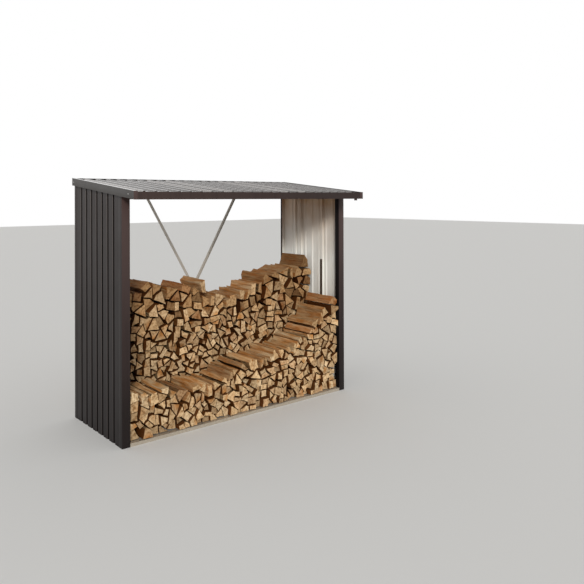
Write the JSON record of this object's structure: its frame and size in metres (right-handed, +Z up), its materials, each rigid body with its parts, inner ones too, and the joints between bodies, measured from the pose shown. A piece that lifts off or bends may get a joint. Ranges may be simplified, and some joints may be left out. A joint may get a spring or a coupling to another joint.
{
  "type": "log store with firewood",
  "caption": "Open-fronted steel log store with ribbed walls, a ribbed mono-pitch roof, a front gutter, a cross-braced open back and stacked rows of split firewood.",
  "frame": {"origin": "on the ground, under the middle of the roof", "axes": "+X across the width to the right as seen from the front, +Y from the open front to the back, +Z up"},
  "size_m": [2.29, 1.132, 1.99],
  "materials": {
    "coated_steel": "satin dark brown coating",
    "pale_steel": "satin off-white back coating",
    "galvanised_steel": "dull zinc",
    "split_wood": "raw split and sawn"
  },
  "bodies": {
    "root": {"front_sill": "galvanised_steel", "left_base_rail": "galvanised_steel", "right_base_rail": "galvanised_steel", "rear_base_rail": "galvanised_steel", "log_bearers": "galvanised_steel", "left_front_post": "coated_steel", "right_front_post": "coated_steel", "left_rear_post": "coated_steel", "right_rear_post": "coated_steel", "left_wall_front_panel": "coated_steel", "left_wall_rear_panel": "coated_steel", "right_wall_front_panel": "coated_steel", "right_wall_rear_panel": "coated_steel", "left_front_stiffener": "pale_steel", "left_rear_stiffener": "pale_steel", "right_front_stiffener": "pale_steel", "right_rear_stiffener": "pale_steel", "left_wall_strip": "coated_steel", "right_wall_strip": "coated_steel", "left_top_rail": "coated_steel", "right_top_rail": "coated_steel", "front_header": "coated_steel", "rear_top_rail": "coated_steel", "left_rafter": "galvanised_steel", "right_rafter": "galvanised_steel", "left_roof_panel": "coated_steel", "middle_roof_panel": "coated_steel", "right_roof_panel": "coated_steel", "left_verge_trim": "coated_steel", "right_verge_trim": "coated_steel", "rear_trim": "coated_steel", "left_corner_cap": "coated_steel", "right_corner_cap": "coated_steel", "front_gutter": "coated_steel", "gutter_outlet": "coated_steel", "left_brace": "galvanised_steel", "right_brace": "galvanised_steel", "front_row_left_logs": "split_wood", "front_row_middle_logs": "split_wood", "front_row_right_logs": "split_wood", "back_row_left_logs": "split_wood", "back_row_mid_left_logs": "split_wood", "back_row_mid_right_logs": "split_wood", "back_row_right_logs": "split_wood"}
  },
  "joints": []
}
